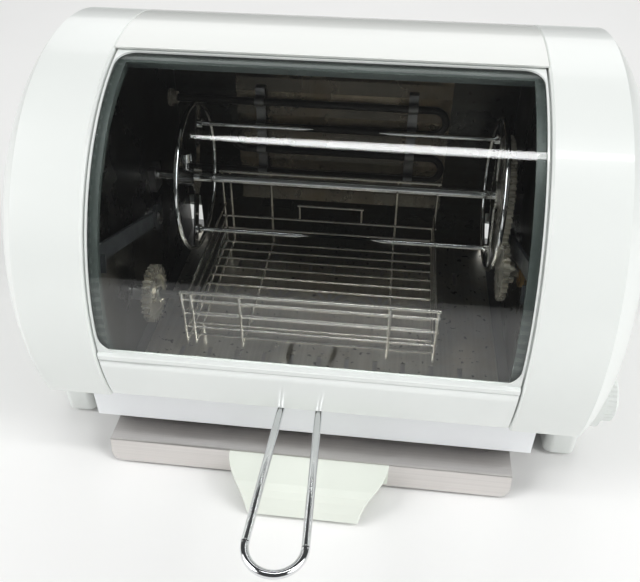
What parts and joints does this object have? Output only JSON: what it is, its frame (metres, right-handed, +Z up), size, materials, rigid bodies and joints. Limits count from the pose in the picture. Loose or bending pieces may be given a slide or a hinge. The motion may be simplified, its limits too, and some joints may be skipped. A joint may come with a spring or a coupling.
{
  "type": "rotisserie oven",
  "caption": "Countertop rotisserie oven: barrel body, curved glass door that lifts on side arms, geared spit with tined wheels, wire basket, pull-out drip tray and timer knob.",
  "frame": {"origin": "middle of the bounding box in X and Y, on the table", "axes": "+X to the oven's right, +Y to its back, +Z up; the door faces -Y"},
  "size_m": [0.472, 0.4512, 0.319],
  "materials": {
    "arm_paint": "black",
    "back_paint": "light grey paint",
    "bright_steel": "bright sheet",
    "bronze": "sintered bronze",
    "cavity_steel": "aluminised sheet, greasy",
    "ceramic": "ceramic",
    "chassis_steel": "plain",
    "chrome": "polished",
    "cover_paint": "white enamel",
    "dark_plastic": "matt black",
    "frame_paint": "grey green",
    "gear_metal": "cast, machined",
    "glass": "clear, grey green tint",
    "heater_black": "black sheath",
    "print_black": "print",
    "print_orange": "print",
    "rubber": "matt",
    "screw_steel": "zinc",
    "timer_plastic": "ivory",
    "white_plastic": "glossy white",
    "wire_red": "silicone sleeve"
  },
  "bodies": {
    "oven": {"left_casing": "white_plastic", "right_casing": "white_plastic", "top_cover": "cover_paint", "back_panel": "back_paint", "cord_gland": "dark_plastic", "back_screws": "screw_steel", "rubber_feet": "rubber", "base_panel": "white_plastic", "base_frame": "chassis_steel", "deck": "chassis_steel", "tray_cover": "bright_steel", "left_wall": "cavity_steel", "right_wall": "cavity_steel", "rear_liner": "cavity_steel", "reflector": "bright_steel", "heating_element": "heater_black", "heater_clips": "screw_steel", "heater_bushings": "ceramic", "thermal_cutout": "screw_steel", "wiring": "wire_red", "wire_basket": "chrome", "door_pivot_pins": "screw_steel", "left_spit_cradle": "chassis_steel", "right_spit_cradle": "chassis_steel", "drive_bushing": "bronze", "gearbox": "chassis_steel", "motor": "chassis_steel", "gear_stub": "screw_steel", "timer_body": "timer_plastic", "dial_ticks": "print_black", "dial_band": "print_orange"},
    "door": {"door_surround": "white_plastic", "door_glass": "glass", "door_inner_frame": "frame_paint", "door_handle": "chrome", "left_door_arm": "arm_paint", "right_door_arm": "arm_paint"},
    "spit": {"spit_rod": "chrome", "left_spit_wheel": "chrome", "right_spit_wheel": "chrome", "left_tines": "chrome", "right_tines": "chrome", "left_hub": "chrome", "right_hub": "screw_steel", "spit_gear": "gear_metal"},
    "pinion": {"drive_pinion": "gear_metal"},
    "basket_wheel": {"basket_gear": "gear_metal"},
    "tray": {"drip_tray": "bright_steel", "tray_handle": "white_plastic", "tray_rivets": "screw_steel"},
    "knob": {"timer_knob": "white_plastic"}
  },
  "joints": [
    {"name": "door_swing", "type": "hinge", "parent": "oven", "child": "door", "pos_m": [-0.004, 0.08224, 0.139], "axis": [-1, 0, 0], "range_deg": [0, 62]},
    {"name": "spit_turn", "type": "hinge", "parent": "oven", "child": "spit", "pos_m": [-0.004, 0.10224, 0.173], "axis": [1, 0, 0], "continuous": true},
    {"name": "pinion_turn", "type": "hinge", "parent": "oven", "child": "pinion", "pos_m": [-0.004, 0.03719, 0.13694], "axis": [1, 0, 0], "continuous": true},
    {"name": "basket_gear_turn", "type": "hinge", "parent": "oven", "child": "basket_wheel", "pos_m": [-0.004, 0.01924, 0.099], "axis": [1, 0, 0], "continuous": true},
    {"name": "tray_slide", "type": "slide", "parent": "oven", "child": "tray", "axis": [0, -1, 0], "range_m": [0, 0.15]},
    {"name": "knob_turn", "type": "hinge", "parent": "oven", "child": "knob", "pos_m": [-0.004, -0.04176, 0.079], "axis": [-1, 0, 0], "range_deg": [0, 300]}
  ],
  "couplings": [
    {"joint": "pinion_turn", "follows": "spit_turn", "ratio": -2.1481}
  ]
}
